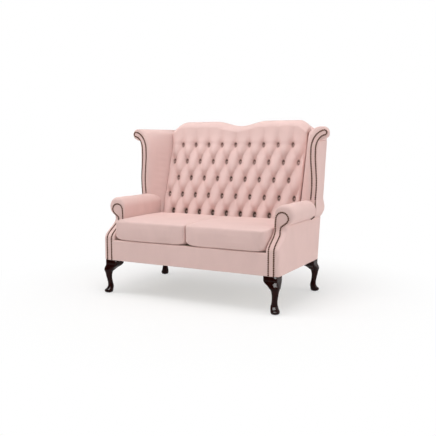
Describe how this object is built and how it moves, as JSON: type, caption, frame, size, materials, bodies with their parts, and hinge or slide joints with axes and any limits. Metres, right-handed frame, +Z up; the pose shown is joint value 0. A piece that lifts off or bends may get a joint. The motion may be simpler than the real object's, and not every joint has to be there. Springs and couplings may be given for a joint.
{
  "type": "sofa",
  "caption": "Winged sofa with a diamond-buttoned camel back, rolled arms edged with nails, loose seat cushions and cabriole legs",
  "frame": {"origin": "on the floor, in the middle of the whole width and depth", "axes": "+X to the right as seen from the front, +Y towards the back, +Z up; the sofa faces -Y"},
  "size_m": [1.418, 0.822, 1.096],
  "materials": {
    "velvet": "soft brushed pale pink velvet",
    "frame_timber": "sawn hardwood, unfinished",
    "leg_wood": "dark mahogany, gloss lacquer",
    "nail_brass": "antiqued, dull",
    "canvas": "woven",
    "bolt_steel": "zinc plated",
    "glide_plastic": "moulded"
  },
  "bodies": {
    "sofa": {"front_seat_rail": "frame_timber", "rear_seat_rail": "frame_timber", "left_side_rail": "frame_timber", "right_side_rail": "frame_timber", "centre_seat_rail": "frame_timber", "corner_blocks": "frame_timber", "left_arm_post": "frame_timber", "right_arm_post": "frame_timber", "left_arm_rail": "frame_timber", "right_arm_rail": "frame_timber", "left_back_post": "frame_timber", "right_back_post": "frame_timber", "back_uprights": "frame_timber", "back_top_rail": "frame_timber", "back_lower_rail": "frame_timber", "left_wing_frame": "frame_timber", "right_wing_frame": "frame_timber", "left_wing_stile": "frame_timber", "right_wing_stile": "frame_timber", "seat_webbing": "canvas", "back_webbing": "canvas", "seat_deck": "canvas", "front_border": "velvet", "left_arm_pad": "velvet", "right_arm_pad": "velvet", "left_arm_roll": "velvet", "right_arm_roll": "velvet", "left_arm_facing": "velvet", "right_arm_facing": "velvet", "left_arm_nails": "nail_brass", "right_arm_nails": "nail_brass", "left_wing_pad": "velvet", "right_wing_pad": "velvet", "left_wing_scroll": "velvet", "right_wing_scroll": "velvet", "left_wing_facing": "velvet", "right_wing_facing": "velvet", "left_wing_nails": "nail_brass", "right_wing_nails": "nail_brass", "left_outside_arm": "velvet", "right_outside_arm": "velvet", "left_outside_wing": "velvet", "right_outside_wing": "velvet", "back_pad": "velvet", "back_buttons": "velvet", "top_roll": "velvet", "outside_back": "velvet", "dust_cover": "canvas", "front_left_leg": "leg_wood", "front_right_leg": "leg_wood", "rear_left_leg": "leg_wood", "rear_right_leg": "leg_wood", "leg_bolts": "bolt_steel", "foot_glides": "glide_plastic"},
    "left_cushion": {"left_seat_cushion": "velvet"},
    "right_cushion": {"right_seat_cushion": "velvet"}
  },
  "joints": [
    {"name": "left_cushion_lift", "type": "slide", "parent": "sofa", "child": "left_cushion", "axis": [0, 0, 1], "range_m": [0, 0.3]},
    {"name": "right_cushion_lift", "type": "slide", "parent": "sofa", "child": "right_cushion", "axis": [0, 0, 1], "range_m": [0, 0.3]}
  ]
}
